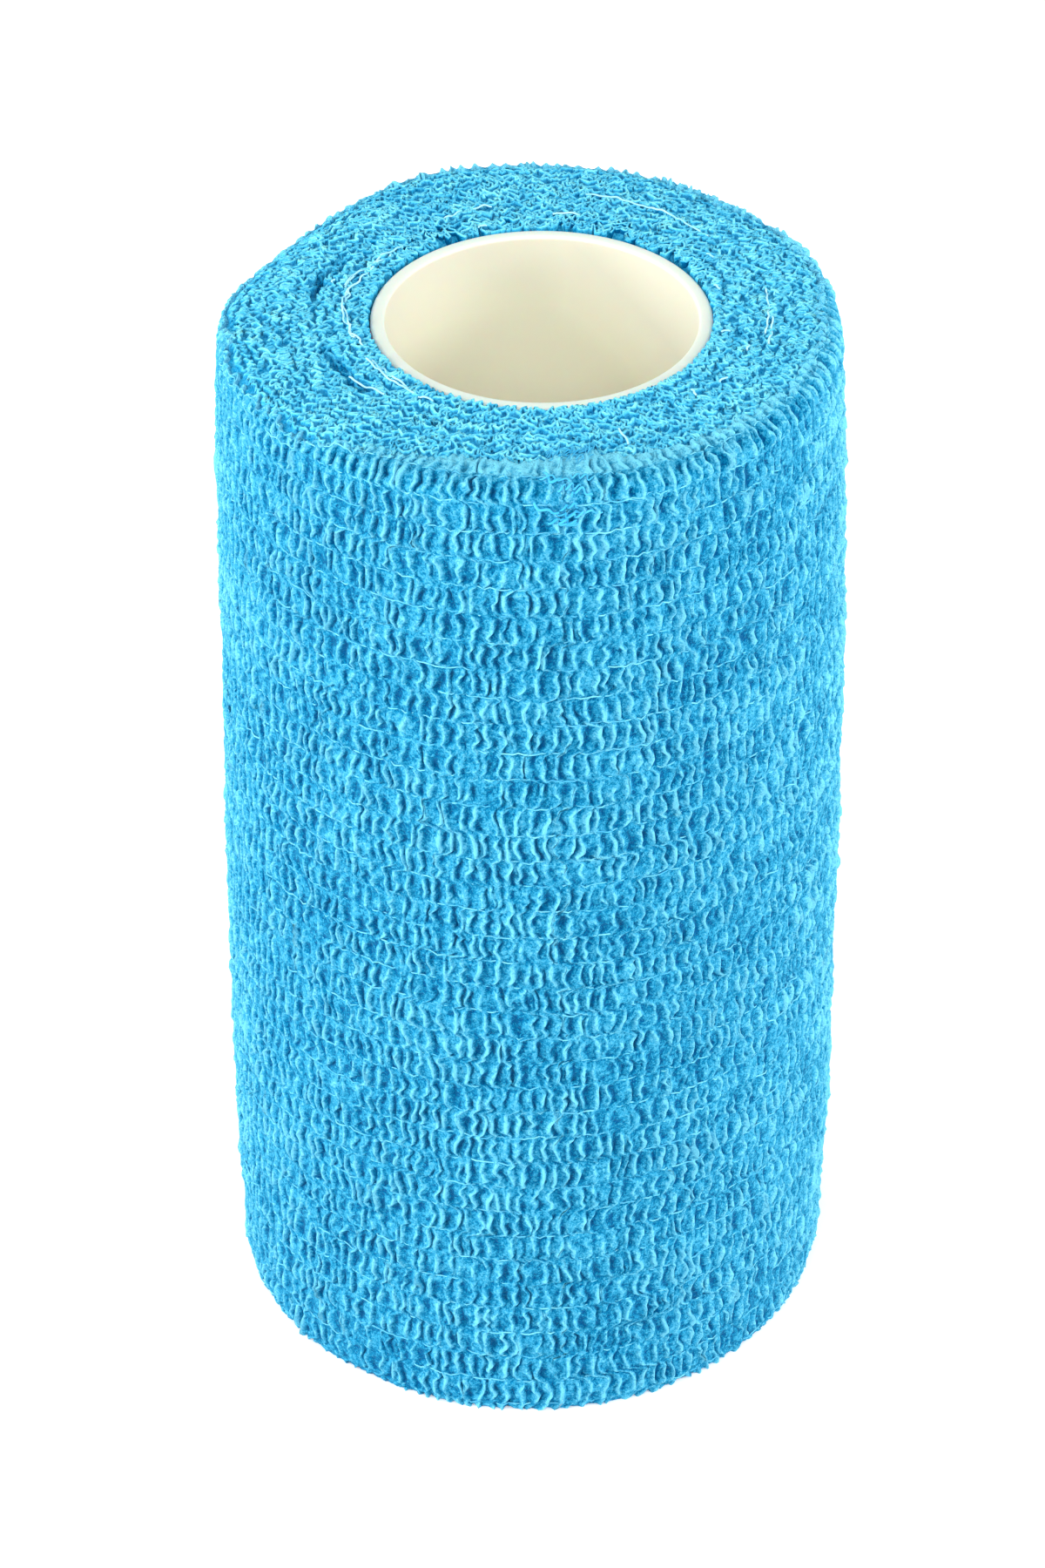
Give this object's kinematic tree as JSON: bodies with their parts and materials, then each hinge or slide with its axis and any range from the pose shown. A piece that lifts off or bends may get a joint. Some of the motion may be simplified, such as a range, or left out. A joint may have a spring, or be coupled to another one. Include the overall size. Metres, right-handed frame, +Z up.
{
  "type": "cohesive bandage roll",
  "caption": "Crinkled elastic bandage strip wound tight on an open plastic tube, standing on end on its flat base.",
  "frame": {"origin": "middle of the flat base that the roll stands on", "axes": "+Z up along the roll, -Y towards the side where the strip's outer end lies"},
  "size_m": [0.0557, 0.0558, 0.1],
  "materials": {
    "bandage": "crinkled matt nonwoven with elastic threads",
    "core": "smooth satin, off-white"
  },
  "bodies": {
    "root": {"bandage_roll": "bandage", "core_tube": "core"}
  },
  "joints": []
}
